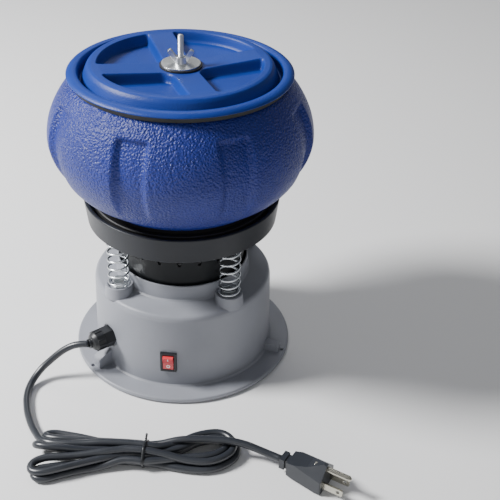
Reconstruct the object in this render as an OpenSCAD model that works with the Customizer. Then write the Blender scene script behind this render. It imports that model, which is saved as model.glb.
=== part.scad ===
// Vibratory rock tumbler: sprung bowl on a round motor base, with its mains lead.

/* [Base] */
// Radius of the flange that stands on the bench
flange_r = 100; // [99.5:0.5:103]
// Thickness of the flange
flange_t = 4; // [3.5:0.5:4.5]
// Radius of the base drum at its foot
drum_foot_r = 81.5; // [81:0.25:82]
// Radius of the base drum at its shoulder
drum_top_r = 80; // [79.5:0.25:80.5]
// Height of the shoulder's edge
shoulder_z = 73; // [71:0.5:74]
// Outside radius of the collar round the motor
collar_r = 59; // [58.6:0.1:59.2]
// Height of the collar's top edge
collar_z = 96; // [92:0.5:97]
// Radius of the holes in the flange
flange_hole_r = 1.8; // [1.6:0.1:2]

/* [Springs] */
// Radius of the circle that the springs stand on
spring_circle_r = 68.4; // [68.4:0.1:69.5]
// Outside radius of a spring
spring_r = 9.6; // [9.2:0.1:9.8]
// Diameter of the spring wire
wire_d = 1.8; // [1.5:0.1:2]
// Turns in a spring
spring_turns = 7; // [5:1:8]

/* [Plate and motor] */
// Radius of the bowl plate at its upper edge
plate_r = 85.5; // [85:0.25:86]
// Outside radius of the motor housing
housing_r = 55.2; // [54.8:0.1:55.5]
// Number of air slots round the motor housing
housing_slots = 20; // [12:1:24]
// Radius of the unbalanced weight
weight_r = 30; // [26:1:34]

/* [Bowl and lid] */
// Largest outside radius of the bowl
bowl_r = 111.3; // [110:0.25:112]
// Wall thickness of the bowl
bowl_wall = 3.5; // [3:0.25:4]
// Height of the top of the lid's ring
lid_ring_z = 277; // [276:0.5:278]
// Width of a spoke of the lid
spoke_w = 21; // [18:0.5:24]
// Direction of the first spoke in degrees
spoke_turn = 24.5; // [0:0.5:89]

/* [Switch and lead] */
// Height of the middle of the switch
switch_z = 31.4; // [28:0.2:36]
// Diameter of the mains lead
cord_d = 6.2; // [6:0.1:6.2]

/* [Hidden] */
flange_low_z = 0.8;
flange_top_z = flange_low_z + flange_t;
drum_wall_r = 78.5;
boss_top_z = 88;
seat_z = 86;
plate_low_z = 136;
gland_turn = -45.5;
gland_z = 35.5;
plug_x = 106.3;
plug_y = -162.7;
plug_z = 9;
plug_turn = -24.5;
rod_r = 2.5;

// Route of the lead from the gland to the hank
lead_route = [
  [-73, -71.7, 35.5], [-79.5, -72.2, 35], [-87, -72.8, 33], [-95, -74, 28.5],
  [-102, -76, 23], [-108, -78.2, 17.5], [-113.5, -81, 12.5], [-118, -86.5, 8],
  [-120.8, -94, 4.8], [-121.3, -103, 3.5], [-119.8, -113, 3.2], [-117, -122, 3.2],
  [-113.5, -131, 3.2], [-109.5, -139, 3.2], [-104.5, -147.5, 3.2], [-97.7, -157, 3.4]
];

// Route of the lead from the hank to the plug
tail_route = [
  [12, -156.6, 14.2], [22, -154.4, 13.6], [36, -153, 13], [50, -152.3, 13],
  [64, -152.4, 13], [76, -153.4, 12.4], [86, -155.5, 11], [94, -158, 9.8],
  [100, -160.2, 9.1], [106.3, -162.7, 9]
];

// Outline of the hank laid on the bench
hank_outline = [
  [-93.8, -153.9], [-101.6, -160.1], [-102, -172], [-98.4, -196], [-90, -208],
  [-78, -207], [-56, -199], [-38, -190], [-14, -182], [12, -182], [32, -184.5],
  [48, -184], [62, -180], [72, -169], [76.5, -150], [67, -136], [53, -129.5],
  [39, -132], [18, -144], [12, -157], [-30, -157], [-48, -150], [-75, -149],
  [-88, -150.5]
];

// Profile of a lug in radius and height
lug_left = [[80, 2], [94.4, 2], [94.4, 13.5], [93, 15], [80, 22]];
lug_right = [[80, 2], [94.4, 2], [94.4, 10.6], [93, 12], [80, 13]];

function unit(v) = v / norm(v);

// Direction of a route at one of its points
function heading(path, i) =
  unit(path[min(i + 1, len(path) - 1)] - path[max(i - 1, 0)]);

// One ring of points round a route
function ring(path, i, r, sides) =
  let (t = heading(path, i), s = unit(cross(t, [0, 0, 1])), u = cross(s, t))
  [for (k = [0:sides - 1]) path[i] + r * (cos(360 * k / sides) * s + sin(360 * k / sides) * u)];

// Faces between the rings of a tube and over its ends
function tube_faces(rings, sides) = concat(
  [for (i = [0:rings - 2], k = [0:sides - 1])
    [i * sides + k, i * sides + (k + 1) % sides, (i + 1) * sides + (k + 1) % sides,
     (i + 1) * sides + k]],
  [[for (k = [sides - 1:-1:0]) k]],
  [[for (k = [0:sides - 1]) (rings - 1) * sides + k]]
);

module tube(path, r, sides) {
  points = [for (i = [0:len(path) - 1]) each ring(path, i, r, sides)];
  polyhedron(points = points, faces = tube_faces(len(path), sides));
}

// Share of its height that a spring's wire has reached, with closed end turns
function coil_rise(u, e) =
  u < e ? 0.5 * u * u / e / (1 - e)
  : u > 1 - e ? 1 - 0.5 * (1 - u) * (1 - u) / e / (1 - e)
  : (u - 0.5 * e) / (1 - e);

module spring_at(turn) {
  r = spring_r - wire_d / 2;
  whole = 360 * spring_turns;
  low = seat_z + 1 + wire_d / 2;
  high = plate_low_z - wire_d / 2;
  path = [for (a = [0:22.5:whole])
    [r * cos(a), r * sin(a), low + (high - low) * coil_rise(a / whole, 1 / spring_turns)]];
  color("silver")
    rotate([0, 0, turn])
      translate([0, -spring_circle_r, 0])
        tube(path, wire_d / 2, 6);
}

// Puts its children at the four spring places
module at_springs() {
  for (k = [0:3])
    rotate([0, 0, 45 + 90 * k])
      translate([0, -spring_circle_r, 0])
        children();
}

// Lays its children along the gland's axis, starting at a radius
module on_gland(r) {
  rotate([0, 0, gland_turn])
    translate([0, -r, gland_z])
      rotate([90, 0, 0])
        children();
}

// Six-sided bar of a given width across its flats
module hex_bar(flats, h) {
  cylinder(r = flats / sqrt(3), h = h, $fn = 6);
}

module lug(profile, turn, w) {
  rotate([0, 0, turn - 90])
    translate([0, w / 2, 0])
      rotate([90, 0, 0])
        linear_extrude(height = w)
          polygon(profile);
}

module base_shell() {
  color("lightsteelblue") difference() {
    union() {
      rotate_extrude($fn = 128)
        polygon([
          [drum_wall_r, flange_low_z], [flange_r - 0.6, flange_low_z],
          [flange_r, flange_low_z + 0.6], [flange_r, flange_top_z - 1.2],
          [flange_r - 0.5, flange_top_z - 0.4], [flange_r - 1.4, flange_top_z], [drum_foot_r + 1.5, flange_top_z],
          [drum_foot_r, flange_top_z + 1.5], [drum_top_r, shoulder_z],
          [drum_top_r - 0.5, shoulder_z + 2.6], [drum_top_r - 1.5, shoulder_z + 4.3],
          [drum_top_r - 3, shoulder_z + 5.2], [60.5, 81], [collar_r, 82.5],
          [collar_r, collar_z - 0.5], [collar_r - 0.5, collar_z],
          [57.7, collar_z], [57.2, collar_z - 0.5], [57.2, 78], [77, 75.2],
          [drum_wall_r - 1.8, shoulder_z], [drum_wall_r, shoulder_z - 3]
        ]);
      at_springs() translate([0, 0, 76.5])
        cylinder(r1 = 13, r2 = 11.8, h = boss_top_z - 76.5, $fn = 64);
      lug(lug_left, -47, 10);
      lug(lug_right, 79, 9);
      lug(lug_right, 195, 9);
      for (k = [0:3])
        rotate([0, 0, 22 + 90 * k])
          translate([0, -73.8, 3.9])
            cylinder(r = 5.2, h = 9, $fn = 32);
      on_gland(75) cylinder(r = 12, h = 4.6, $fn = 48);
    }
    translate([0, 0, 60])
      cylinder(r = 57.2, h = 60, $fn = 128);
    at_springs() {
      translate([0, 0, seat_z])
        cylinder(r = 10, h = 9, $fn = 64);
      translate([0, 0, 60])
        cylinder(r = 3.2, h = 40, $fn = 32);
    }
    for (turn = [-49, 80, 195])
      rotate([0, 0, turn])
        translate([0, -96.6, 0])
          cylinder(r = flange_hole_r, h = 10, $fn = 32);
    for (k = [0:3])
      rotate([0, 0, 22 + 90 * k])
        translate([0, -73.8, 2])
          cylinder(r = 1.3, h = 9, $fn = 24);
    on_gland(79.6) cylinder(r = 10.6, h = 10, $fn = 48);
    on_gland(70) cylinder(r = 8, h = 20, $fn = 48);
    translate([-7.1, -90, switch_z - 9.85])
      cube([14.2, 9.8, 19.7]);
    translate([-6.1, -90, switch_z - 8.85])
      cube([12.2, 20, 17.7]);
  }
}

module bottom_cover() {
  color("dimgray") difference() {
    translate([0, 0, 1.4])
      cylinder(r = 78.3, h = 2.5, $fn = 128);
    for (k = [0:3])
      rotate([0, 0, 22 + 90 * k])
        translate([0, -73.8, 0])
          cylinder(r = 1.7, h = 9, $fn = 24);
    for (k = [-5:5])
      translate([k * 9 - 2, -22, 0])
        cube([4, 44, 9]);
  }
}

module rubber_feet() {
  color("black")
    for (k = [0:3])
      rotate([0, 0, 20 + 90 * k])
        translate([0, -87, 0])
          cylinder(r = 8, h = flange_low_z, $fn = 48);
}

module cover_screws() {
  color("silver")
    for (k = [0:3])
      rotate([0, 0, 22 + 90 * k])
        translate([0, -73.8, 0]) {
          translate([0, 0, 1.4])
            cylinder(r = 1.3, h = 9, $fn = 24);
          difference() {
            translate([0, 0, 0.1])
              cylinder(r = 2.8, h = 1.3, $fn = 32);
            translate([-0.4, -3, 0])
              cube([0.8, 6, 0.7]);
          }
        }
}

module switch_frame() {
  color("black") difference() {
    union() {
      translate([-7, -83, switch_z - 9.75])
        cube([14, 2.8, 19.5]);
      translate([-6, -80.2, switch_z - 8.75])
        cube([12, 18, 17.5]);
      for (k = [-1:1])
        translate([-2.4, -69, switch_z + k * 5.6 - 0.4])
          cube([4.8, 14.5, 0.8]);
    }
    translate([-4.95, -84, switch_z - 7.8])
      cube([9.9, 12, 15.6]);
    translate([-5.6, -81.5, switch_z])
      rotate([0, 90, 0])
        cylinder(r = 1.25, h = 11.2, $fn = 24);
  }
}

module rocker() {
  color("red")
    translate([0, -81.5, switch_z])
      rotate([11, 0, 0])
        union() {
          translate([-4.65, 0, 0])
            rotate([90, 0, 90])
              linear_extrude(height = 9.3)
                polygon([
                  [-2.6, -7], [-3, -6.5], [-1.9, 0], [-3, 6.5], [-2.6, 7],
                  [0, 7.2], [4, 5.6], [5.4, 3], [5.4, -3], [4, -5.6], [0, -7.2]
                ]);
          translate([-5.5, 0, 0])
            rotate([0, 90, 0])
              cylinder(r = 1.2, h = 11, $fn = 24);
        }
}

module gland_body() {
  color("black") difference() {
    union() {
      on_gland(79.6) hex_bar(16.6, 9.4);
      on_gland(70) cylinder(r = 7.9, h = 10, $fn = 48);
      on_gland(89) cylinder(r = 6.4, h = 4, $fn = 48);
    }
    on_gland(69) cylinder(r = cord_d / 2, h = 30, $fn = 32);
  }
}

module gland_dome() {
  color("black") difference() {
    union() {
      on_gland(89.2) cylinder(r = 8.8, h = 7.4, $fn = 48);
      on_gland(96.6) cylinder(r1 = 8.8, r2 = 6.6, h = 2.6, $fn = 48);
      on_gland(99.2) cylinder(r1 = 6.6, r2 = 4.4, h = 1, $fn = 48);
      on_gland(100.2) cylinder(r = 4.4, h = 2.1, $fn = 48);
      for (k = [0:11])
        on_gland(89.2)
          rotate([0, 0, 30 * k])
            translate([8.4, -0.9, 0])
              cube([1, 1.8, 7.4]);
    }
    on_gland(80) cylinder(r = 6.4, h = 13, $fn = 48);
    on_gland(69) cylinder(r = cord_d / 2, h = 50, $fn = 32);
  }
}

module gland_lock_nut() {
  color("black") difference() {
    on_gland(71) hex_bar(20, 4);
    on_gland(70) cylinder(r = 7.9, h = 10, $fn = 48);
  }
}

module inner_lead() {
  color("dimgray")
    on_gland(52) cylinder(r = cord_d / 2, h = 50.2, $fn = 32);
}

module terminal_block() {
  color("ivory")
    rotate([0, 0, gland_turn])
      difference() {
        union() {
          translate([-15, -52, 3.9])
            cube([30, 14, 27]);
          translate([-13, -50, 30.9])
            cube([26, 10, 3]);
        }
        for (k = [-2:2])
          translate([k * 5, -45, 29])
            cylinder(r = 1.6, h = 8, $fn = 24);
      }
}

module lower_spring_bolts() {
  color("silver") at_springs() {
    translate([0, 0, seat_z])
      cylinder(r = 6.6, h = 1, $fn = 48);
    translate([0, 0, seat_z + 1])
      hex_bar(10, 4);
    translate([0, 0, 66])
      cylinder(r = 3, h = 22, $fn = 32);
    translate([0, 0, 70])
      hex_bar(10, 5);
  }
}

module cord_lead() {
  color("dimgray") tube(lead_route, cord_d / 2, 10);
}

module cord_tail() {
  color("dimgray") tube(tail_route, cord_d / 2, 10);
}

module cord_hank() {
  color("dimgray") union() {
    translate([0, 0, 0.8])
      linear_extrude(height = 9)
        polygon(hank_outline);
    translate([-24, -181.8, 0.8])
      cube([36, 24.6, 16.2]);
  }
}

module cord_tie() {
  color("black") difference() {
    translate([-5.2, -182.8, 0])
      cube([2.4, 26.6, 17.8]);
    translate([-6, -182, 0.8])
      cube([4, 25, 16.2]);
  }
}

// Lays its children along the plug's axis, cord end at the origin
module on_plug() {
  translate([plug_x, plug_y, 0])
    rotate([0, 0, plug_turn])
      children();
}

module plug_body() {
  color("dimgray") on_plug() {
    difference() {
      union() {
        intersection() {
          translate([0, 15, 0])
            rotate([90, 0, 0])
              linear_extrude(height = 30)
                polygon([
                  [8.5, 2.4], [12, 1.6], [41, 0.4], [41, 23.6], [38, 24], [26, 19.2],
                  [8.5, 15.6]
                ]);
          linear_extrude(height = 30)
            polygon([
              [8.5, -7.8], [40, -12], [41, -11.6], [41, 11.6], [40, 12], [8.5, 7.8]
            ]);
          rotate([90, 0, 90])
            linear_extrude(height = 44)
              polygon([
                [-12.2, 2], [-11, 0.4], [11, 0.4], [12.2, 2], [12.2, 13.5], [1.6, 24],
                [-1.6, 24], [-12.2, 13.5]
              ]);
        }
        translate([0.6, -5.5, 4])
          cube([4.6, 11, 10]);
        translate([5, -4.2, 4.8])
          cube([4, 8.4, 8.4]);
      }
      translate([-1, 0, plug_z])
        rotate([0, 90, 0])
          cylinder(r = cord_d / 2, h = 4, $fn = 32);
      for (side = [-1, 1])
        translate([30, side * 6.35 - 0.75, 4.1])
          cube([14, 1.5, 6.3]);
      translate([30, 0, 19.2])
        rotate([0, 90, 0])
          cylinder(r = 2.4, h = 14, $fn = 32);
    }
  }
}

module plug_blades() {
  color("silver") on_plug()
    for (side = [-1, 1])
      translate([0, side * 6.35 + 0.75, 0])
        rotate([90, 0, 0])
          linear_extrude(height = 1.5)
            difference() {
              polygon([
                [30, 4.1], [57, 4.1], [58, 5], [58, 9.5], [57, 10.4], [30, 10.4]
              ]);
              translate([54, 7.25])
                circle(r = 1.55, $fn = 24);
            }
}

module plug_ground_pin() {
  color("silver") on_plug()
    translate([30, 0, 19.2])
      rotate([0, 90, 0]) {
        cylinder(r = 2.4, h = 30, $fn = 32);
        translate([0, 0, 30])
          cylinder(r1 = 2.4, r2 = 1, h = 1.8, $fn = 32);
      }
}

module bowl_plate() {
  color("dimgray") difference() {
    union() {
      rotate_extrude($fn = 128)
        polygon([
          [0, 148.5], [79.5, 148.5], [79.5, plate_low_z], [82.3, plate_low_z],
          [82.8, plate_low_z + 0.6], [plate_r, 158], [plate_r - 0.4, 158.6],
          [plate_r - 1, 158.8], [plate_r - 2.6, 158.8], [plate_r - 3.1, 158.3],
          [plate_r - 3.6, 152], [0, 152]
        ]);
      at_springs() translate([0, 0, plate_low_z])
        cylinder(r = 11, h = 14, $fn = 64);
    }
    translate([0, 0, 140])
      cylinder(r = rod_r, h = 20, $fn = 32);
    at_springs() translate([0, 0, 130])
      cylinder(r = 3, h = 30, $fn = 32);
    for (k = [0:3])
      rotate([0, 0, 90 * k])
        translate([0, -59.5, 140])
          cylinder(r = 2, h = 20, $fn = 24);
  }
}

module seat_ring() {
  color("black") rotate_extrude($fn = 128)
    polygon([
      [64, 152], [78, 152], [78, 157.2], [77.2, 158], [73, 158], [73, 161.4],
      [72.4, 162], [64, 162]
    ]);
}

module motor_housing() {
  color("black") difference() {
    rotate_extrude($fn = 128)
      polygon([
        [housing_r - 2, 88], [housing_r - 0.5, 88], [housing_r, 88.5],
        [housing_r, 145], [64, 145], [64, 148.5], [housing_r - 2, 148.5]
      ]);
    for (k = [0:housing_slots - 1])
      rotate([0, 0, 6.4 + 360 * k / housing_slots])
        translate([0, -50, 0])
          rotate([90, 0, 0])
            linear_extrude(height = 10)
              polygon([
                [-5.2, 129], [5.2, 129], [1.2, 114.6], [0.6, 113.8], [-0.6, 113.8],
                [-1.2, 114.6]
              ]);
    for (k = [0:3])
      rotate([0, 0, 90 * k])
        translate([0, -59.5, 140])
          cylinder(r = 2, h = 20, $fn = 24);
    at_springs() translate([0, 0, plate_low_z])
      cylinder(r = 11, h = 14, $fn = 64);
  }
}

module plate_screws() {
  color("silver")
    for (k = [0:3])
      rotate([0, 0, 90 * k])
        translate([0, -59.5, 0]) {
          translate([0, 0, 141])
            cylinder(r = 2, h = 12, $fn = 24);
          translate([0, 0, 152])
            cylinder(r = 3.8, h = 2.2, $fn = 32);
          translate([0, 0, 142])
            hex_bar(7, 3);
        }
}

module upper_spring_bolts() {
  color("silver") at_springs() {
    translate([0, 0, 132.5])
      hex_bar(10, 3.5);
    translate([0, 0, 134])
      cylinder(r = 3, h = 18, $fn = 32);
  }
}

module motor_bracket() {
  color("silver") difference() {
    union() {
      translate([0, 0, 112])
        cylinder(r = housing_r - 2, h = 4, $fn = 96);
      translate([0, 0, 112])
        cylinder(r = 14, h = 13, $fn = 64);
      for (k = [0:3])
        rotate([0, 0, 45 + 90 * k])
          translate([0, -47, 62])
            cylinder(r = 3.2, h = 51, $fn = 32);
    }
    translate([0, 0, 110])
      cylinder(r = 5, h = 20, $fn = 48);
    translate([0, 0, 117])
      cylinder(r = 11, h = 20, $fn = 48);
    for (k = [0:7])
      rotate([0, 0, 45 * k])
        translate([0, -30, 110])
          cylinder(r = 6, h = 10, $fn = 32);
  }
}

module lower_bracket() {
  color("silver") difference() {
    union() {
      translate([0, 0, 59])
        cylinder(r = 51, h = 3, $fn = 96);
      translate([0, 0, 55])
        cylinder(r = 14, h = 7, $fn = 64);
    }
    translate([0, 0, 50])
      cylinder(r = 5, h = 20, $fn = 48);
    translate([0, 0, 50])
      cylinder(r = 11, h = 10, $fn = 48);
    for (k = [0:7])
      rotate([0, 0, 22.5 + 45 * k])
        translate([0, -32, 50])
          cylinder(r = 7, h = 20, $fn = 32);
  }
}

// Ball bearing drawn as one ring on the shaft
module bearing(z) {
  color("lightgray") difference() {
    translate([0, 0, z])
      cylinder(r = 11, h = 5, $fn = 64);
    translate([0, 0, z - 1])
      cylinder(r = 4.03, h = 9, $fn = 48);
  }
}

module upper_bearing() {
  bearing(117);
}

module lower_bearing() {
  bearing(55);
}

module stator_core() {
  color("gray") difference() {
    translate([0, 0, 70])
      cylinder(r = 42, h = 34, $fn = 96);
    translate([0, 0, 60])
      cylinder(r = 24.5, h = 60, $fn = 96);
    for (k = [0:5])
      rotate([0, 0, 60 * k])
        translate([0, -33.2, 60])
          cylinder(r = 5.2, h = 60, $fn = 32);
  }
}

module stator_coils() {
  color("chocolate")
    for (k = [0:5])
      rotate([0, 0, 60 * k])
        translate([0, -33.2, 65])
          cylinder(r = 5.2, h = 44, $fn = 32);
}

module motor_shaft() {
  color("silver") translate([0, 0, 30])
    cylinder(r = 4, h = 98, $fn = 48);
}

module rotor_core() {
  color("gray") difference() {
    translate([0, 0, 70])
      cylinder(r = 24, h = 34, $fn = 96);
    translate([0, 0, 60])
      cylinder(r = 4, h = 60, $fn = 48);
  }
}

module eccentric_weight() {
  color("goldenrod") difference() {
    union() {
      translate([0, 0, 32])
        cylinder(r = 10, h = 12, $fn = 64);
      intersection() {
        translate([0, 0, 32])
          cylinder(r = weight_r, h = 12, $fn = 96);
        translate([-40, -40, 30])
          cube([80, 40, 20]);
      }
    }
    translate([0, 0, 30])
      cylinder(r = 4, h = 20, $fn = 48);
    translate([0, 2, 38])
      rotate([-90, 0, 0])
        cylinder(r = 2, h = 20, $fn = 24);
  }
}

module weight_screw() {
  color("black") difference() {
    translate([0, 4, 38])
      rotate([-90, 0, 0])
        cylinder(r = 2, h = 5.5, $fn = 24);
    translate([0, 7.5, 38])
      rotate([-90, 0, 0])
        cylinder(r = 1, h = 5, $fn = 6);
  }
}

module cooling_fan() {
  color("whitesmoke") difference() {
    union() {
      translate([0, 0, 46])
        cylinder(r = 8, h = 6, $fn = 48);
      translate([0, 0, 46])
        cylinder(r = 28, h = 1.2, $fn = 96);
      for (k = [0:7])
        rotate([0, 0, 45 * k])
          translate([6, -0.6, 46])
            cube([21.5, 1.2, 6]);
    }
    translate([0, 0, 40])
      cylinder(r = 4, h = 20, $fn = 48);
  }
}

module centre_rod() {
  color("silver") {
    translate([0, 0, 141])
      cylinder(r = rod_r, h = 157.4, $fn = 32);
    translate([0, 0, 298.4])
      cylinder(r1 = rod_r, r2 = rod_r - 0.6, h = 0.8, $fn = 32);
  }
}

module rod_nuts() {
  color("silver") difference() {
    union() {
      translate([0, 0, 144])
        hex_bar(8, 4.5);
      translate([0, 0, 152])
        hex_bar(8, 4.5);
    }
    translate([0, 0, 140])
      cylinder(r = rod_r, h = 20, $fn = 32);
  }
}

// Outer radius of the bowl above its widest line
function upper_r(z, top_r) = top_r * (1 - pow((z - 215.5) / 108.2, 2.02));

// Outer radius of the bowl below its widest line
function lower_r(u, low_r, top_r) =
  low_r + (top_r - low_r) * pow(1 - pow(u, 1.6), 0.625);

bowl_outside = concat(
  [[62, 162], [72, 162], [76, 163], [79.6, 165.8], [81.4, 168.5]],
  [for (k = [0:11]) let (u = 1 - pow(k / 12, 1.3))
    [lower_r(u, 81.8, bowl_r), 215.5 - 45.5 * u]],
  [for (k = [0:12]) let (z = 215.5 + 48.5 * k / 12) [upper_r(z, bowl_r), z]]
);
bowl_inside = concat(
  [for (k = [12:-1:0]) let (z = 215.5 + 48.5 * k / 12)
    [upper_r(z, bowl_r) - bowl_wall, z]],
  [for (k = [11:-1:0]) let (u = 1 - pow(k / 12, 1.3))
    [lower_r(u, 79, bowl_r - bowl_wall), 215.5 - 43.5 * u]],
  [[76.5, 168.5], [73, 166.2], [70, 165.5], [62, 165.5], [50, 167], [40, 171.5],
   [31, 179.5], [24, 191], [19, 205], [15.5, 220], [13, 234], [11.5, 239],
   [10, 240], [0, 240]]
);
bowl_underside = [
  [0, 236], [9.2, 236], [11.8, 219.5], [15.4, 204], [20.6, 189.4], [28, 177],
  [38, 168.2], [48.5, 163.6]
];

module bowl() {
  color("royalblue") difference() {
    rotate_extrude($fn = 128)
      polygon(concat(bowl_outside, bowl_inside, bowl_underside));
    translate([0, 0, 200])
      cylinder(r = 3, h = 60, $fn = 32);
  }
}

module bowl_washer() {
  color("silver") difference() {
    translate([0, 0, 240])
      cylinder(r = 9, h = 1.4, $fn = 48);
    translate([0, 0, 239])
      cylinder(r = 3, h = 5, $fn = 32);
  }
}

module bowl_nut() {
  color("silver") difference() {
    translate([0, 0, 241.4])
      hex_bar(8, 4.6);
    translate([0, 0, 240])
      cylinder(r = rod_r, h = 9, $fn = 32);
  }
}

// Shape of the four hollows between the spokes
module lid_pockets() {
  difference() {
    rotate_extrude($fn = 96)
      polygon([
        [19.5, 280], [20.5, 265.2], [66, 268], [67.6, 277.4], [67.6, 280]
      ]);
    rotate([0, 0, spoke_turn])
      for (turn = [0, 90])
        rotate([0, 0, turn])
          translate([-80, -spoke_w / 2, 250])
            cube([160, spoke_w, 40]);
  }
}

// Hollows under the spokes and the ring
module lid_underside() {
  rotate([0, 0, spoke_turn])
    for (turn = [0:90:270])
      rotate([0, 0, turn])
        translate([18, -spoke_w / 2 + 3, 255])
          cube([47, spoke_w - 6, 14]);
  rotate_extrude($fn = 96)
    polygon([[68.5, 255], [76.5, 255], [76, 266], [73, 273.4], [69, 273.6]]);
}

module lid() {
  color("royalblue") difference() {
    rotate_extrude($fn = 128)
      polygon([
        [0, 262], [64, 262], [66, 258.6], [84.2, 258.6], [85.2, 259.6],
        [85.2, 268.4], [91.6, 268.4], [92.3, 269], [92.4, 269.6], [91.4, 270.5],
        [89.4, 271.6], [86.8, 272.2], [84.6, 272], [83.2, 271.3], [82.8, 270.4],
        [82.8, 262], [80.4, 262], [79.6, 266], [77.4, 272.4], [76, 275],
        [74, lid_ring_z - 0.5], [72, lid_ring_z], [68, lid_ring_z], [20, 273],
        [0, 273]
      ]);
    lid_pockets();
    lid_underside();
    translate([0, 0, 250])
      cylinder(r = 3.2, h = 40, $fn = 32);
  }
}

module lid_gasket() {
  color("black") rotate_extrude($fn = 128)
    polygon([[86.6, 264], [89, 264], [89.6, 268.4], [86.2, 268.4]]);
}

module rubber_washer() {
  color("black") difference() {
    translate([0, 0, 273])
      cylinder(r = 17.4, h = 1.5, $fn = 64);
    translate([0, 0, 270])
      cylinder(r = 3, h = 9, $fn = 32);
  }
}

module steel_washer() {
  color("silver") difference() {
    translate([0, 0, 274.5])
      cylinder(r = 16, h = 1.2, $fn = 64);
    translate([0, 0, 270])
      cylinder(r = 3, h = 9, $fn = 32);
  }
}

module wing_nut() {
  color("silver") difference() {
    union() {
      translate([0, 0, 275.7])
        cylinder(r1 = 5.4, r2 = 4.2, h = 5.2, $fn = 48);
      for (side = [0, 180])
        rotate([0, 0, side + 5])
          translate([0, 2, 0])
            rotate([90, 0, 0])
              linear_extrude(height = 4)
                polygon([
                  [1, 276.4], [4.4, 276.2], [10.8, 284.8], [10.6, 285.6], [8.7, 286.9],
                  [7.8, 286.8], [4, 281.6], [1, 280.4]
                ]);
    }
    translate([0, 0, 270])
      cylinder(r = rod_r + 0.05, h = 30, $fn = 32);
  }
}

base_shell();
bottom_cover();
rubber_feet();
cover_screws();
switch_frame();
rocker();
gland_body();
gland_dome();
gland_lock_nut();
lower_spring_bolts();
terminal_block();
inner_lead();
cord_lead();
cord_hank();
cord_tail();
cord_tie();
plug_body();
plug_blades();
plug_ground_pin();
bowl_plate();
seat_ring();
motor_housing();
motor_bracket();
lower_bracket();
stator_core();
stator_coils();
upper_bearing();
lower_bearing();
upper_spring_bolts();
plate_screws();
centre_rod();
rod_nuts();
bowl();
bowl_washer();
bowl_nut();
spring_at(45);  // spring_1
spring_at(135);  // spring_2
spring_at(225);  // spring_3
spring_at(315);  // spring_4
motor_shaft();
rotor_core();
eccentric_weight();
weight_screw();
cooling_fan();
lid();
lid_gasket();
rubber_washer();
steel_washer();
wing_nut();
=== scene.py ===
import math

import bpy
import numpy as np
from mathutils import Matrix, Vector


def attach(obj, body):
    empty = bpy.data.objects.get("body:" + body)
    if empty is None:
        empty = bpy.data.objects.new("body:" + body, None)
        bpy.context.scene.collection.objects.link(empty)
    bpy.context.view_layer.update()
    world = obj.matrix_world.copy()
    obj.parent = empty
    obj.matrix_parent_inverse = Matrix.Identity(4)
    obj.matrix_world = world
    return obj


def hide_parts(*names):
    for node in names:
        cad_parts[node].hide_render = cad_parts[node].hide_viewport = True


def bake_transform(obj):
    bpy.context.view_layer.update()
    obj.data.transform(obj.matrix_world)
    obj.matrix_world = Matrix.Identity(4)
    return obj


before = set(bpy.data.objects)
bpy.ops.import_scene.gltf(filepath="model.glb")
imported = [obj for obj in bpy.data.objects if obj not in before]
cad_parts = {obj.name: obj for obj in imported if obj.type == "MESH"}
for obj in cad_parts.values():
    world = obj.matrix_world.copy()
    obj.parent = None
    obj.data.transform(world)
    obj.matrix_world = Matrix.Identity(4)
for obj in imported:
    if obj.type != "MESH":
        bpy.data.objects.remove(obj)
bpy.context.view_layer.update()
print("stage: model loaded")


# ---------- camera ----------

cameraValues = {"place": (0.12455, -0.72646, 0.57031), "lens": 69.34, "sensor": 36.0, "near": 0.01,
                "heading": 4.995, "tilt": 57.263, "roll": 1.905}


def makeCamera(values):
    data = bpy.data.cameras.new("camera")
    data.lens = values["lens"]
    data.sensor_width = values["sensor"]
    data.clip_start = values["near"]
    camera = bpy.data.objects.new("camera", data)
    bpy.context.scene.collection.objects.link(camera)
    turn = Matrix.Rotation(math.radians(values["heading"]), 4, "Z")
    tilt = Matrix.Rotation(math.radians(values["tilt"]), 4, "X")
    roll = Matrix.Rotation(math.radians(values["roll"]), 4, "Z")
    camera.matrix_world = Matrix.Translation(values["place"]) @ turn @ tilt @ roll
    bpy.context.scene.camera = camera


makeCamera(cameraValues)
print("stage: camera")


# ---------- mesh helpers ----------

def smoothStep(low, high, value):
    t = np.clip((value - low) / (high - low), 0.0, 1.0)
    return t * t * (3.0 - 2.0 * t)


def meshObject(name, points, faces, smooth=True):
    mesh = bpy.data.meshes.new(name)
    mesh.from_pydata([tuple(p) for p in points], [], [tuple(f) for f in faces])
    mesh.validate()
    mesh.update()
    if smooth:
        mesh.shade_smooth()
    else:
        mesh.shade_flat()
    obj = bpy.data.objects.new(name, mesh)
    bpy.context.scene.collection.objects.link(obj)
    return obj


def gridFaces(rows, columns, closedRows=False):
    # every ring of points is closed; closedRows also joins the last ring to the first
    faces = []
    for i in range(rows if closedRows else rows - 1):
        this, after = i * columns, (i + 1) % rows * columns
        for k in range(columns):
            here, beside = k, (k + 1) % columns
            faces.append((this + here, this + beside, after + beside, after + here))
    return faces


def capFaces(rows, columns):
    last = (rows - 1) * columns
    return [tuple(range(columns))[::-1], tuple(range(last, last + columns))]


def latheMesh(name, profile, segments, shape):
    # profile runs in radius and height, in metres; shape gives both for each turn
    points = []
    for radius, height in profile:
        for k in range(segments):
            turn = 2.0 * math.pi * k / segments
            r, z = shape(radius, height, turn)
            points.append((r * math.sin(turn), -r * math.cos(turn), z))
    return meshObject(name, points, gridFaces(len(profile), segments, True))


def densify(points, step):
    out = []
    for a, b in zip(points[:-1], points[1:]):
        count = max(1, int(math.dist(a, b) / step))
        out += [tuple(a[j] + (b[j] - a[j]) * i / count for j in range(len(a))) for i in range(count)]
    return out + [tuple(points[-1])]


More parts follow.
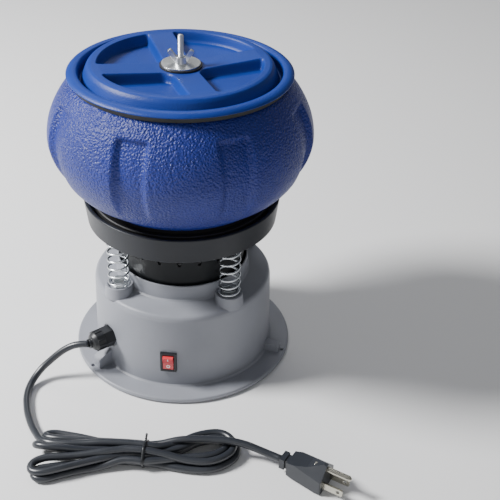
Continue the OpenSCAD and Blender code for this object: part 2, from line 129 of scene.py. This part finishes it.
def splinePath(points, step):
    # smooth curve through the points, then even spacing
    pts = [Vector(p) for p in points]
    pts = [pts[0] * 2 - pts[1]] + pts + [pts[-1] * 2 - pts[-2]]
    parts = 12
    fine = []
    for i in range(1, len(pts) - 2):
        p0, p1, p2, p3 = pts[i - 1:i + 3]
        slope = p2 - p0
        bend = 2 * p0 - 5 * p1 + 4 * p2 - p3
        twist = 3 * p1 - p0 - 3 * p2 + p3
        for s in range(parts):
            t = s / parts
            fine.append(0.5 * ((2 * p1) + slope * t + bend * t * t + twist * t ** 3))
    fine.append(pts[-2])
    lengths = [0.0]
    for a, b in zip(fine[:-1], fine[1:]):
        lengths.append(lengths[-1] + (b - a).length)
    count = int(lengths[-1] / step)
    out, j = [], 0
    for i in range(count + 1):
        want = lengths[-1] * i / count
        while j < len(lengths) - 2 and lengths[j + 1] < want:
            j += 1
        span = lengths[j + 1] - lengths[j]
        out.append(fine[j].lerp(fine[j + 1], (want - lengths[j]) / span if span else 0.0))
    return out, lengths[-1]


def tubeMesh(name, path, radiusAt, sides):
    # radiusAt gives the radius for a point of the path and an angle round it
    points, normal = [], None
    for i, p in enumerate(path):
        ahead = (path[min(i + 1, len(path) - 1)] - path[max(i - 1, 0)]).normalized()
        if normal is None:
            normal = ahead.cross(Vector((0, 0, 1))).normalized()
        normal = (normal - ahead * normal.dot(ahead)).normalized()
        other = ahead.cross(normal)
        for k in range(sides):
            a = 2 * math.pi * k / sides
            r = radiusAt(i, a)
            points.append(p + r * (math.cos(a) * normal + math.sin(a) * other))
    return meshObject(name, points, gridFaces(len(path), sides) + capFaces(len(path), sides))


# ---------- shader helpers ----------

def groupGrain():
    # fine moulded grain: height and a broad blotch mask
    tree = bpy.data.node_groups.new("grainMask", "ShaderNodeTree")
    tree.interface.new_socket("Scale", in_out="INPUT", socket_type="NodeSocketFloat")
    tree.interface.new_socket("Height", in_out="OUTPUT", socket_type="NodeSocketFloat")
    tree.interface.new_socket("Blotch", in_out="OUTPUT", socket_type="NodeSocketFloat")
    n = tree.nodes
    source = n.new("NodeGroupInput")
    sink = n.new("NodeGroupOutput")
    coords = n.new("ShaderNodeTexCoord")
    fine = n.new("ShaderNodeTexNoise")
    fine.inputs["Detail"].default_value = 4.0
    broad = n.new("ShaderNodeTexNoise")
    broad.inputs["Scale"].default_value = 28.0
    broad.inputs["Detail"].default_value = 5.0
    tree.links.new(coords.outputs["Object"], fine.inputs["Vector"])
    tree.links.new(coords.outputs["Object"], broad.inputs["Vector"])
    tree.links.new(source.outputs["Scale"], fine.inputs["Scale"])
    tree.links.new(fine.outputs["Fac"], sink.inputs["Height"])
    tree.links.new(broad.outputs["Fac"], sink.inputs["Blotch"])
    return tree


def groupPebble():
    # rounded pebbles of a spark-eroded mould, with their own size jitter
    tree = bpy.data.node_groups.new("pebbleHeight", "ShaderNodeTree")
    tree.interface.new_socket("Scale", in_out="INPUT", socket_type="NodeSocketFloat")
    tree.interface.new_socket("Height", in_out="OUTPUT", socket_type="NodeSocketFloat")
    n = tree.nodes
    source = n.new("NodeGroupInput")
    sink = n.new("NodeGroupOutput")
    coords = n.new("ShaderNodeTexCoord")
    cells = n.new("ShaderNodeTexVoronoi")
    cells.feature = "SMOOTH_F1"
    cells.inputs["Smoothness"].default_value = 0.6
    noise = n.new("ShaderNodeTexNoise")
    noise.inputs["Detail"].default_value = 3.0
    mix = n.new("ShaderNodeMath")
    mix.operation = "MULTIPLY_ADD"
    mix.inputs[1].default_value = -0.8
    tree.links.new(coords.outputs["Object"], cells.inputs["Vector"])
    tree.links.new(coords.outputs["Object"], noise.inputs["Vector"])
    tree.links.new(source.outputs["Scale"], cells.inputs["Scale"])
    tree.links.new(source.outputs["Scale"], noise.inputs["Scale"])
    tree.links.new(cells.outputs["Distance"], mix.inputs[0])
    tree.links.new(noise.outputs["Fac"], mix.inputs[2])
    tree.links.new(mix.outputs[0], sink.inputs["Height"])
    return tree


grainTree = groupGrain()
pebbleTree = groupPebble()


def baseMaterial(name, color, shade, roughness, roughSpread, grainScale, bump, distance=0.0002,
                 metallic=0.0,
                 specular=0.5, coat=0.0, edge=0.0, pebble=False, coatRoughness=0.1):
    material = bpy.data.materials.new(name)
    material.use_nodes = True
    tree = material.node_tree
    shader = tree.nodes["Principled BSDF"]
    shader.inputs["Metallic"].default_value = metallic
    shader.inputs["Specular IOR Level"].default_value = specular
    shader.inputs["Coat Weight"].default_value = coat
    shader.inputs["Coat Roughness"].default_value = coatRoughness
    grain = tree.nodes.new("ShaderNodeGroup")
    grain.node_tree = grainTree
    grain.inputs["Scale"].default_value = grainScale
    tone = tree.nodes.new("ShaderNodeMix")
    tone.data_type = "RGBA"
    tone.inputs["A"].default_value = (*shade, 1)
    tone.inputs["B"].default_value = (*color, 1)
    spread = tree.nodes.new("ShaderNodeMapRange")
    spread.inputs["From Min"].default_value = 0.3
    spread.inputs["From Max"].default_value = 0.6
    rough = tree.nodes.new("ShaderNodeMapRange")
    rough.inputs["From Min"].default_value = 0.3
    rough.inputs["From Max"].default_value = 0.7
    rough.inputs["To Min"].default_value = roughness - roughSpread
    rough.inputs["To Max"].default_value = roughness + roughSpread
    relief = tree.nodes.new("ShaderNodeBump")
    relief.inputs["Strength"].default_value = bump
    relief.inputs["Distance"].default_value = distance
    tree.links.new(grain.outputs["Blotch"], spread.inputs["Value"])
    tree.links.new(spread.outputs["Result"], tone.inputs["Factor"])
    tree.links.new(tone.outputs["Result"], shader.inputs["Base Color"])
    tree.links.new(grain.outputs["Blotch"], rough.inputs["Value"])
    tree.links.new(rough.outputs["Result"], shader.inputs["Roughness"])
    if pebble:
        pebbles = tree.nodes.new("ShaderNodeGroup")
        pebbles.node_tree = pebbleTree
        pebbles.inputs["Scale"].default_value = grainScale
        tree.links.new(pebbles.outputs["Height"], relief.inputs["Height"])
    else:
        tree.links.new(grain.outputs["Height"], relief.inputs["Height"])
    if edge:
        soften = tree.nodes.new("ShaderNodeBevel")
        soften.samples = 6
        soften.inputs["Radius"].default_value = edge
        tree.links.new(soften.outputs["Normal"], relief.inputs["Normal"])
    tree.links.new(relief.outputs["Normal"], shader.inputs["Normal"])
    return material


def clothe(obj, material):
    obj.data.materials.clear()
    obj.data.materials.append(material)


def dress(names, material):
    for name in names:
        clothe(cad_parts[name], material)


greyPaint = baseMaterial("greyPaint", (0.27, 0.28, 0.315), (0.245, 0.255, 0.285), 0.40, 0.05, 1500, 0.12,
                         edge=0.0012, specular=0.45)
blackPaint = baseMaterial("blackPaint", (0.022, 0.024, 0.029), (0.017, 0.019, 0.023), 0.40, 0.07, 1500,
                          0.14, edge=0.0008, specular=0.3)
housingBlack = baseMaterial("housingBlack", (0.009, 0.011, 0.013), (0.007, 0.008, 0.010), 0.48, 0.06,
                            1200, 0.12, edge=0.0006, specular=0.25)
softBlack = baseMaterial("softBlack", (0.010, 0.010, 0.011), (0.014, 0.014, 0.015), 0.6, 0.08, 900, 0.25)
nylonBlack = baseMaterial("nylonBlack", (0.014, 0.015, 0.018), (0.010, 0.011, 0.013), 0.36, 0.06, 1400,
                          0.15, edge=0.0008)
zincSteel = baseMaterial("zincSteel", (0.80, 0.82, 0.83), (0.70, 0.72, 0.74), 0.31, 0.06, 900, 0.10,
                         metallic=1.0, edge=0.0003)
brightWire = baseMaterial("brightWire", (0.84, 0.87, 0.90), (0.74, 0.78, 0.82), 0.27, 0.05, 1600, 0.08,
                          metallic=1.0)
castMetal = baseMaterial("castMetal", (0.45, 0.46, 0.47), (0.36, 0.37, 0.38), 0.5, 0.1, 700, 0.4,
                         metallic=1.0, edge=0.0006)
# dark iron colour of the motor cores and weight; on the motor bracket it is painted shade of the housing
# interior
darkIronAndShade = baseMaterial("darkIronAndShade", (0.12, 0.12, 0.125), (0.07, 0.07, 0.075), 0.5, 0.1, 900, 0.3,
                        metallic=1.0, edge=0.0004)
copperWire = baseMaterial("copperWire", (0.50, 0.21, 0.09), (0.36, 0.14, 0.06), 0.34, 0.08, 1400, 0.4,
                          metallic=1.0)
pinBrass = baseMaterial("pinBrass", (0.62, 0.60, 0.52), (0.54, 0.52, 0.44), 0.24, 0.05, 1200, 0.08,
                        metallic=1.0, edge=0.0004)
ivoryPlastic = baseMaterial("ivoryPlastic", (0.66, 0.62, 0.5), (0.6, 0.56, 0.45), 0.4, 0.06, 900, 0.15,
                            edge=0.0005)
cordJacket = baseMaterial("cordJacket", (0.026, 0.029, 0.036), (0.020, 0.023, 0.029), 0.34, 0.05, 700,
                          0.12, specular=0.6)
bowlBlue = baseMaterial("bowlBlue", (0.009, 0.022, 0.205), (0.007, 0.018, 0.175), 0.41, 0.04, 560, 1.0,
                        distance=0.0010, pebble=True, specular=0.42)
lidBlue = baseMaterial("lidBlue", (0.006, 0.036, 0.25), (0.005, 0.030, 0.215), 0.45, 0.04, 900, 0.35,
                       distance=0.0003, pebble=True, specular=0.3)
print("stage: materials")


# ---------- cord ----------

cordValues = {"diameter": 0.0062, "sides": 18, "step": 0.0024, "foldCentre": (0.040, -0.158),
              "foldShares": (0.35, 0.8, 1.0), "tiedFrom": -0.012, "tiedTo": -0.002}

leadPoints = [
    (-0.0730, -0.0717, 0.0355), (-0.0795, -0.0722, 0.0350), (-0.0870, -0.0728, 0.0330),
    (-0.0950, -0.0740, 0.0285), (-0.1020, -0.0760, 0.0230), (-0.1080, -0.0782, 0.0175),
    (-0.1135, -0.0810, 0.0125), (-0.1180, -0.0865, 0.0080), (-0.1208, -0.0940, 0.0048),
    (-0.1213, -0.1030, 0.0035), (-0.1198, -0.1130, 0.0032), (-0.1170, -0.1220, 0.0032),
    (-0.1135, -0.1310, 0.0032), (-0.1095, -0.1390, 0.0032), (-0.1045, -0.1475, 0.0034),
    (-0.0985, -0.1560, 0.0042), (-0.0922, -0.1638, 0.0060), (-0.0840, -0.1690, 0.0088),
    (-0.0720, -0.1702, 0.0099), (-0.0560, -0.1692, 0.0112), (-0.0400, -0.1677, 0.0130),
    (-0.0200, -0.1667, 0.0139),
]
tailPoints = [
    (0.0080, -0.1598, 0.0102), (0.0220, -0.1575, 0.0138), (0.0360, -0.1560, 0.0150),
    (0.0500, -0.1550, 0.0153), (0.0640, -0.1546, 0.0152), (0.0760, -0.1551, 0.0136),
    (0.0860, -0.1566, 0.0112), (0.0940, -0.1585, 0.0097), (0.1000, -0.1604, 0.0091),
    (0.1063, -0.1630, 0.0090),
]
# where each strand runs through the tie, across and up
slots = {
    "top1": (-0.1667, 0.0139), "top2": (-0.1729, 0.0139), "mid1": (-0.1605, 0.0085), "mid2": (-0.1667,
                                                                                              0.0085),
    "mid3": (-0.1729, 0.0085), "mid4": (-0.1791, 0.0085), "low1": (-0.1636, 0.0031), "low2": (-0.1698,
                                                                                              0.0031),
    "low3": (-0.1760, 0.0031),
}
# each loop at the hank's left end, from the strand that runs out to the one that comes back
leftLoops = {
    "tilted": [
        (-0.022, -0.1630, 0.0031), (-0.040, -0.1582, 0.0031), (-0.058, -0.1548, 0.0031),
        (-0.074, -0.1530, 0.0031), (-0.083, -0.1528, 0.0034), (-0.0888, -0.1558, 0.0046),
        (-0.0882, -0.1605, 0.0064), (-0.081, -0.1629, 0.0080), (-0.072, -0.1634, 0.0086),
        (-0.056, -0.1630, 0.0086), (-0.040, -0.1620, 0.0085), (-0.022, -0.1608, 0.0085),
    ],
    "wide": [
        (-0.022, -0.1696, 0.0031), (-0.040, -0.1688, 0.0031), (-0.058, -0.1676, 0.0031),
        (-0.074, -0.1670, 0.0031), (-0.084, -0.1676, 0.0038), (-0.0915, -0.1706, 0.0066),
        (-0.0928, -0.1745, 0.0104), (-0.0885, -0.1776, 0.0130), (-0.080, -0.1786, 0.0136),
        (-0.070, -0.1778, 0.0129), (-0.056, -0.1756, 0.0108), (-0.040, -0.1722, 0.0091),
        (-0.022, -0.1675, 0.0085),
    ],
    "upper": [
        (-0.022, -0.1737, 0.0134), (-0.038, -0.1778, 0.0124), (-0.054, -0.1815, 0.0106),
        (-0.070, -0.1838, 0.0090), (-0.081, -0.1858, 0.0084), (-0.0885, -0.1898, 0.0077),
        (-0.0910, -0.1952, 0.0073), (-0.0882, -0.2005, 0.0074), (-0.080, -0.2016, 0.0086),
        (-0.068, -0.1970, 0.0094), (-0.054, -0.1900, 0.0094), (-0.038, -0.1822, 0.0092),
        (-0.022, -0.1752, 0.0087),
    ],
    "flat": [
        (-0.022, -0.1799, 0.0074), (-0.038, -0.1856, 0.0036), (-0.054, -0.1918, 0.0031),
        (-0.068, -0.1985, 0.0031), (-0.077, -0.2032, 0.0031), (-0.0838, -0.2038, 0.0031),
        (-0.0880, -0.1992, 0.0031), (-0.0858, -0.1938, 0.0031), (-0.077, -0.1902, 0.0031),
        (-0.060, -0.1852, 0.0031), (-0.040, -0.1796, 0.0031), (-0.022, -0.1766, 0.0031),
    ],
}
# the outermost fold at the right end, on the bench
rightFold = [
    (0.008, -0.1590), (0.021, -0.1505), (0.031, -0.1438), (0.041, -0.1388), (0.052, -0.1364),
    (0.061, -0.1393),
    (0.0675, -0.1460), (0.0695, -0.1540), (0.0670, -0.1630), (0.0585, -0.1718), (0.0465, -0.1770),
    (0.031, -0.1786),
    (0.014, -0.1775),
]


def rightLoop(far, near, inset, height):
    # the outermost fold moved inwards, and led into its two slots at the ends
    count = len(rightFold)
    centre = Vector(cordValues["foldCentre"])
    points = []
    for i, (x, y) in enumerate(rightFold):
        before = Vector(rightFold[max(i - 1, 0)])
        after = Vector(rightFold[min(i + 1, count - 1)])
        ahead = (after - before).normalized()
        inward = Vector((ahead.y, -ahead.x))
        if inward.dot(centre - Vector((x, y))) < 0:
            inward = -inward
        edge = min(i, count - 1 - i)
        share = cordValues["foldShares"][min(edge, 2)]
        slotY, slotZ = slots[far] if i < count / 2 else slots[near]
        flat = Vector((x, y)) + inward * inset
        y2 = flat.y * share + slotY * (1 - share)
        x2 = flat.x * share + x * (1 - share)
        z2 = height * share + slotZ * (1 - share)
        points.append((x2, y2, z2))
    return points


def through(slot, rightwards):
    y, z = slots[slot]
    ends = (cordValues["tiedFrom"], cordValues["tiedTo"])
    return [(x, y, z) for x in (ends if rightwards else ends[::-1])]


route = leadPoints + through("top1", True)
route += rightLoop("top1", "top2", 0.0031, 0.0088) + through("top2", False)
route += leftLoops["upper"] + through("mid3", True)
route += rightLoop("mid3", "low2", 0.0063, 0.0032) + through("low2", False)
route += leftLoops["wide"] + through("mid2", True)
route += rightLoop("mid2", "mid4", 0.0094, 0.0088) + through("mid4", False)
route += leftLoops["flat"] + through("low3", True)
route += rightLoop("low1", "low3", 0.0, 0.0031)[::-1] + through("low1", False)
route += leftLoops["tilted"] + through("mid1", True) + tailPoints

cordPath, cordLength = splinePath(route, cordValues["step"])
cord = tubeMesh("mainsCord", cordPath, lambda i, a: cordValues["diameter"] / 2, cordValues["sides"])
clothe(cord, cordJacket)
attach(cord, "base")
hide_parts("cord_lead", "cord_hank", "cord_tail")
print("stage: cord", round(cordLength, 3))


# ---------- tie round the hank ----------

tieValues = {"x": -0.004, "width": 0.0022, "thick": 0.0009, "count": 96, "lift": 0.00005,
             "endStart": (-0.1640, 0.0172),
             "endStep": (0.0007,
                         0.0004), "endWave": 0.0006, "endRadius": 0.0009, "endPoints": 7, "endSides": 10}


def makeTie(values):
    points, count = [], values["count"]
    section = ((-0.5, 0.0), (-0.5, 0.7), (-0.3, 1.0), (0.3, 1.0), (0.5, 0.7), (0.5, 0.0))
    for i in range(count):
        a = 2 * math.pi * i / count
        reach = max(slots.values(), key=lambda s: s[0] * math.cos(a) + s[1] * math.sin(a))
        for across, out in section:
            r = cordValues["diameter"] / 2 + values["thick"] * out
            y, z = reach[0] + r * math.cos(a), reach[1] + r * math.sin(a)
            points.append((values["x"] + values["width"] * across, y, max(z, values["lift"])))
    tie = meshObject("hankTie", points, gridFaces(count, len(section), True))
    startY, startZ = values["endStart"]
    stepY, stepZ = values["endStep"]
    twist = [Vector((values["x"], startY + stepY * k, startZ + stepZ * k + values["endWave"] * (k % 2)))
             for k in range(values["endPoints"])]
    ends = tubeMesh("hankTieTwist", twist, lambda i, a: values["endRadius"] * (1.2 if i % 2 else 0.85),
                    values["endSides"])
    for piece in (tie, ends):
        clothe(piece, nylonBlack)
        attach(piece, "base")
    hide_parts("cord_tie")
    return [tie, ends]


tiePieces = makeTie(tieValues)
print("stage: tie")


# ---------- bowl ----------

bowlValues = {"widest": 0.1113, "wall": 0.0035, "middle": 0.2155, "domeHeight": 0.1082, "domePower": 2.02,
              "belowDepth": 0.0455, "aboveDepth": 0.0485, "footRadius": 0.0818, "rimRound": 0.0006,
              "panels": 8,
              "panelTurn": -12.0, "panelDepth": 0.0044, "panelHalf": (0.0104,
                                                                      0.0146), "panelTop": (0.2478,
                                                                                            0.2525),
              "panelLow": (0.172, 0.212), "insideShare": 0.75, "insideFoot": 0.079,
              "insideDepth": 0.0435, "skin": 0.0018, "panelZone": (0.0790, 0.1705, 0.2545), "segments": 360}


def upperRadius(z, widest):
    rise = max(z - bowlValues["middle"], 0.0) / bowlValues["domeHeight"]
    return widest * (1 - rise ** bowlValues["domePower"])


def lowerRadius(u, low, widest):
    return low + (widest - low) * (1 - min(max(u, 0.0), 1.0) ** 1.6) ** 0.625


def bowlProfile():
    widest, wall, middle = bowlValues["widest"], bowlValues["wall"], bowlValues["middle"]
    below, above, rimRound = bowlValues["belowDepth"], bowlValues["aboveDepth"], bowlValues["rimRound"]
    outside = [(0.062, 0.162), (0.072, 0.162), (0.076, 0.163), (0.0796, 0.1658), (0.0814, 0.1685)]
    for k in range(24):
        u = 1 - (k / 24) ** 1.3
        outside.append((lowerRadius(u, bowlValues["footRadius"], widest), middle - below * u))
    for k in range(33):
        z = middle + above * k / 32
        outside.append((upperRadius(z, widest) - (rimRound if k == 32 else 0), z))
    inside = []
    for k in range(24, -1, -1):
        z = middle + above * k / 24
        inside.append((upperRadius(z, widest) - wall + (rimRound if k == 24 else 0), z))
    for k in range(17, -1, -1):
        u = 1 - (k / 18) ** 1.3
        inside.append((lowerRadius(u, bowlValues["insideFoot"], widest - wall),
                       middle - bowlValues["insideDepth"] * u))
    # the floor, the centre post and the underside back to the foot
    inside += [(0.0765, 0.1685), (0.073, 0.1662), (0.070, 0.1655), (0.062, 0.1655), (0.050, 0.167),
               (0.040, 0.1715),
               (0.031, 0.1795), (0.024, 0.191), (0.019, 0.205), (0.0155, 0.220), (0.013, 0.234),
               (0.0115, 0.239),
               (0.010, 0.240), (0.003, 0.240), (0.003, 0.236), (0.0092, 0.236), (0.0118, 0.2195),
               (0.0154, 0.204),
               (0.0206, 0.1894), (0.028, 0.177), (0.038, 0.1682), (0.0485, 0.1636)]
    return outside, inside


def bowlShape(radius, z, turn):
    # the panels are pressed in, so the inside follows the outside by most of their depth
    least, lowest, highest = bowlValues["panelZone"]
    if radius < least or z < lowest or z > highest:
        return radius, z
    widest, middle = bowlValues["widest"], bowlValues["middle"]
    if z > middle:
        outer = upperRadius(z, widest)
    else:
        outer = lowerRadius((middle - z) / bowlValues["belowDepth"], bowlValues["footRadius"], widest)
    share = 1.0 if radius > outer - bowlValues["skin"] else bowlValues["insideShare"]
    step = 360.0 / bowlValues["panels"]
    away = (math.degrees(turn) - bowlValues["panelTurn"] + step / 2) % step - step / 2
    across = abs(math.radians(away)) * outer
    side = float(1 - smoothStep(*bowlValues["panelHalf"], across))
    top = float(1 - smoothStep(*bowlValues["panelTop"], z))
    bottom = float(smoothStep(*bowlValues["panelLow"], z))
    return radius - bowlValues["panelDepth"] * share * side * top * bottom, z


outsideProfile, insideProfile = bowlProfile()
bowl = latheMesh("bowl_skin", densify(outsideProfile, 0.0016) + insideProfile, bowlValues["segments"],
                 bowlShape)
clothe(bowl, bowlBlue)
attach(bowl, "upper")
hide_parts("bowl")
print("stage: bowl")


# ---------- lid ----------

lidValues = {"spokeWidth": 0.021, "spokeTurn": 24.5, "corner": 0.0035, "pocketInner": 0.0192,
             "pocketOuter": 0.0678,
             "segments": 540}


def softCurve(points, radius):
    # height over radius, averaged over a short reach so that corners come out round
    xs = np.array([p[0] for p in points])
    ys = np.array([p[1] for p in points])
    weights = ((-1, 1), (-0.5, 2), (0, 3), (0.5, 2), (1, 1))

    def height(r):
        return float(sum(np.interp(r + radius * s, xs, ys) * w for s, w in weights) / 9)
    return height


lidTop = softCurve([(0.0, 0.273), (0.020, 0.273), (0.066, 0.277), (0.0722, 0.277), (0.0745, 0.2762),
                    (0.0764, 0.2738),
                    (0.0782, 0.2695), (0.0800, 0.2645), (0.0806, 0.2626), (0.0824, 0.2626),
                    (0.0828, 0.2700),
                    (0.0836, 0.2716), (0.0866, 0.2722), (0.0894, 0.2716), (0.0914, 0.2704),
                    (0.0924, 0.2692)], 0.0004)
pocketFloor = softCurve([(0.0, 0.2650), (0.022, 0.2652), (0.066, 0.2680), (0.090, 0.2690)], 0.0008)


def lidHeight(radius, turn):
    top = lidTop(radius)
    if radius > 0.069 or radius < 0.018:
        return top
    floor = pocketFloor(radius)
    x, y = radius * math.sin(turn), -radius * math.cos(turn)
    nearest = 1.0
    for k in range(2):
        a = math.radians(lidValues["spokeTurn"] + 90 * k)
        nearest = min(nearest, abs(x * math.cos(a) + y * math.sin(a)) - lidValues["spokeWidth"] / 2)
    corner = lidValues["corner"]
    gaps = [nearest, lidValues["pocketOuter"] - radius, radius - lidValues["pocketInner"]]
    inner = [max(corner - g, 0.0) for g in gaps]
    depth = corner - math.sqrt(sum(g * g for g in inner)) if any(inner) else min(gaps)
    share = float(smoothStep(-0.0003, 0.0026, depth))
    return top + (floor - top) * share


def makeLid(values):
    segments = values["segments"]
    radii = list(np.arange(0.0032, 0.0664, 0.0007)) + list(np.arange(0.0664, 0.0800, 0.0005))
    radii += [0.0800, 0.0803, 0.0806, 0.0810, 0.0818, 0.0824, 0.08255, 0.0827, 0.0828, 0.0830, 0.0834,
              0.0840, 0.0850,
              0.0860, 0.0870, 0.0880, 0.0890, 0.0900, 0.0908, 0.0915, 0.0920, 0.09232]
    points = []
    for radius in radii:
        for k in range(segments):
            turn = 2 * math.pi * k / segments
            points.append((radius * math.sin(turn), -radius * math.cos(turn),
                           lidHeight(float(radius), turn)))
    under = [(0.0923, 0.2688), (0.0916, 0.2684), (0.0852, 0.2684), (0.0852, 0.2596), (0.0842, 0.2586),
             (0.0765, 0.2586),
             (0.0760, 0.2660), (0.0730, 0.2734), (0.0690, 0.2736), (0.0685, 0.2586), (0.066, 0.2586),
             (0.064, 0.262),
             (0.0032, 0.262)]
    for radius, z in under:
        for k in range(segments):
            turn = 2 * math.pi * k / segments
            points.append((radius * math.sin(turn), -radius * math.cos(turn), z))
    return meshObject("lid_skin", points, gridFaces(len(radii) + len(under), segments, True))


lid = makeLid(lidValues)
clothe(lid, lidBlue)
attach(lid, "lid")
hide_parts("lid")
print("stage: lid")


# ---------- springs ----------

springValues = {"circle": 0.0684, "radius": 0.0087, "wire": 0.0009, "turns": 7.0, "low": 0.0879,
                "high": 0.1351,
                "stepsPerTurn": 40, "sides": 12}


def coilRise(u, e):
    # share of the height at share u of the wire; the first and last e lie flat
    if u < e:
        return 0.5 * u * u / e / (1 - e)
    if u > 1 - e:
        return 1 - 0.5 * (1 - u) * (1 - u) / e / (1 - e)
    return (u - 0.5 * e) / (1 - e)


def makeSprings(values):
    for k in range(4):
        turn = math.radians(45 + 90 * k)
        centre = Vector((values["circle"] * math.sin(turn), -values["circle"] * math.cos(turn), 0))
        steps = int(values["turns"] * values["stepsPerTurn"])
        path = []
        for i in range(steps + 1):
            a = 2 * math.pi * values["turns"] * i / steps + turn
            z = values["low"] + (values["high"] - values["low"]) * coilRise(i / steps,
                                                                            1 / values["turns"])
            path.append(centre + Vector((values["radius"] * math.cos(a), values["radius"] * math.sin(a),
                                         z)))
        spring = tubeMesh("springCoil%d" % (k + 1), path, lambda i, a: values["wire"], values["sides"])
        clothe(spring, brightWire)
        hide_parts("spring_%d" % (k + 1))
        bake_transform(spring)


makeSprings(springValues)
print("stage: springs")


# ---------- threaded rod ----------

rodValues = {"radius": 0.0025, "low": 0.141, "high": 0.2992, "pitch": 0.0008, "depth": 0.00042,
             "endTaper": 0.0006, "taperLength": 0.0009, "rowsPerPitch": 6, "sides": 24}


def makeRod(values):
    points, sides = [], values["sides"]
    rows = int((values["high"] - values["low"]) / values["pitch"] * values["rowsPerPitch"])
    for i in range(rows + 1):
        z = values["low"] + (values["high"] - values["low"]) * i / rows
        taper = min(1.0, (values["high"] - z) / values["taperLength"])
        for k in range(sides):
            a = 2 * math.pi * k / sides
            wave = abs(((z / values["pitch"] - k / sides) % 1.0) * 2 - 1)
            r = values["radius"] - values["depth"] * wave - values["endTaper"] * (1 - taper)
            points.append((r * math.cos(a), r * math.sin(a), z))
    return meshObject("rodThread", points, gridFaces(rows + 1, sides) + capFaces(rows + 1, sides))


rod = makeRod(rodValues)
clothe(rod, zincSteel)
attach(rod, "upper")
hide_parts("centre_rod")
print("stage: rod")


# ---------- plain CAD pieces ----------

dress(["base_shell"], greyPaint)
dress(["bowl_plate", "bottom_cover"], blackPaint)
dress(["motor_housing"], housingBlack)
dress(["rubber_feet", "seat_ring", "lid_gasket", "rubber_washer"], softBlack)
dress(["gland_body", "gland_dome", "gland_lock_nut", "switch_frame"], nylonBlack)
dress(["cover_screws", "lower_spring_bolts", "upper_spring_bolts", "plate_screws", "rod_nuts",
       "bowl_washer", "bowl_nut",
       "steel_washer", "wing_nut"], zincSteel)
dress(["motor_shaft", "upper_bearing", "lower_bearing"], zincSteel)
dress(["lower_bracket"], castMetal)
# the motor bracket gets this dark colour as painted shade, so the housing interior seen through the vents
# looks shaded
dress(["motor_bracket", "stator_core", "rotor_core", "eccentric_weight", "weight_screw"], darkIronAndShade)
dress(["stator_coils"], copperWire)
dress(["plug_blades", "plug_ground_pin"], pinBrass)
dress(["terminal_block", "cooling_fan"], ivoryPlastic)
dress(["inner_lead", "plug_body"], cordJacket)

rockerMarkValues = {"ringHigh": 0.0275, "ringRadius": 0.0013, "ringHalf": 0.00042, "barHigh": 0.0356,
                    "barHalfHigh": 0.0015, "barHalfWide": 0.0004, "color": (0.85, 0.8, 0.78)}
rockerRed = baseMaterial("rockerRed", (0.70, 0.045, 0.055), (0.62, 0.035, 0.045), 0.22, 0.04, 900, 0.06,
                         coat=0.3, edge=0.0005)


def addRockerMark(material, values):
    # a pale ring low on the rocker, and a short bar high on it
    tree = material.node_tree
    shader = tree.nodes["Principled BSDF"]
    coords = tree.nodes.new("ShaderNodeTexCoord")
    parts = tree.nodes.new("ShaderNodeSeparateXYZ")
    tree.links.new(coords.outputs["Object"], parts.inputs[0])

    def calc(kind, a, b):
        node = tree.nodes.new("ShaderNodeMath")
        node.operation = kind
        for i, value in enumerate((a, b)):
            if isinstance(value, (int, float)):
                node.inputs[i].default_value = value
            else:
                tree.links.new(value, node.inputs[i])
        return node.outputs[0]

    across, up = parts.outputs["X"], parts.outputs["Z"]
    high = calc("ADD", up, -values["ringHigh"])
    reach = calc("SQRT", calc("ADD", calc("MULTIPLY", across, across), calc("MULTIPLY", high, high)), 0)
    ring = calc("LESS_THAN", calc("ABSOLUTE", calc("SUBTRACT", reach, values["ringRadius"]), 0),
                values["ringHalf"])
    barHigh = calc("ABSOLUTE", calc("SUBTRACT", up, values["barHigh"]), 0)
    inHigh = calc("LESS_THAN", barHigh, values["barHalfHigh"])
    inWide = calc("LESS_THAN", calc("ABSOLUTE", across, 0), values["barHalfWide"])
    mark = calc("MAXIMUM", ring, calc("MULTIPLY", inHigh, inWide))
    blend = tree.nodes.new("ShaderNodeMix")
    blend.data_type = "RGBA"
    source = shader.inputs["Base Color"].links[0].from_socket
    tree.links.new(source, blend.inputs["A"])
    blend.inputs["B"].default_value = (*values["color"], 1)
    tree.links.new(mark, blend.inputs["Factor"])
    tree.links.new(blend.outputs["Result"], shader.inputs["Base Color"])


addRockerMark(rockerRed, rockerMarkValues)
dress(["rocker"], rockerRed)
print("stage: CAD pieces dressed")


# ---------- floor and light ----------

floorValues = {"half": 3, "height": -0.0004, "color": (0.86, 0.86, 0.86), "roughness": 0.9}
worldValues = {"color": (0.93, 0.95, 1.0), "strength": 0.22}
lightValues = {
    "keyLight": {"place": (-1.28, -0.22, 1.22), "aim": (0, 0, 0.12), "size": 0.45, "power": 66.0},
    "fillLight": {"place": (0.2, -1.5, 0.9), "aim": (0, 0, 0.1), "size": 1.0, "power": 2.5},
    "backLight": {"place": (-0.3, 1.0, 1.5), "aim": (0, 0, 0.2), "size": 0.7, "power": 6.0},
}


def makeStage(values):
    half, z = values["half"], values["height"]
    corners = [(-half, -half, z), (half, -half, z), (half, half, z), (-half, half, z)]
    floor = meshObject("floor", corners, [(0, 1, 2, 3)], False)
    material = bpy.data.materials.new("floorPale")
    material.use_nodes = True
    shader = material.node_tree.nodes["Principled BSDF"]
    shader.inputs["Base Color"].default_value = (*values["color"], 1)
    shader.inputs["Roughness"].default_value = values["roughness"]
    clothe(floor, material)


def makeLight(name, values):
    data = bpy.data.lights.new(name, "AREA")
    data.shape = "DISK"
    data.size = values["size"]
    data.energy = values["power"]
    light = bpy.data.objects.new(name, data)
    bpy.context.scene.collection.objects.link(light)
    light.location = values["place"]
    ahead = Vector(values["aim"]) - Vector(values["place"])
    light.rotation_euler = ahead.to_track_quat("-Z", "Y").to_euler()


def makeWorld(values):
    world = bpy.data.worlds.new("studio")
    world.use_nodes = True
    background = world.node_tree.nodes["Background"]
    background.inputs["Color"].default_value = (*values["color"], 1)
    background.inputs["Strength"].default_value = values["strength"]
    bpy.context.scene.world = world


makeStage(floorValues)
makeWorld(worldValues)
for lightName, lightSetting in lightValues.items():
    makeLight(lightName, lightSetting)
print("stage: light")
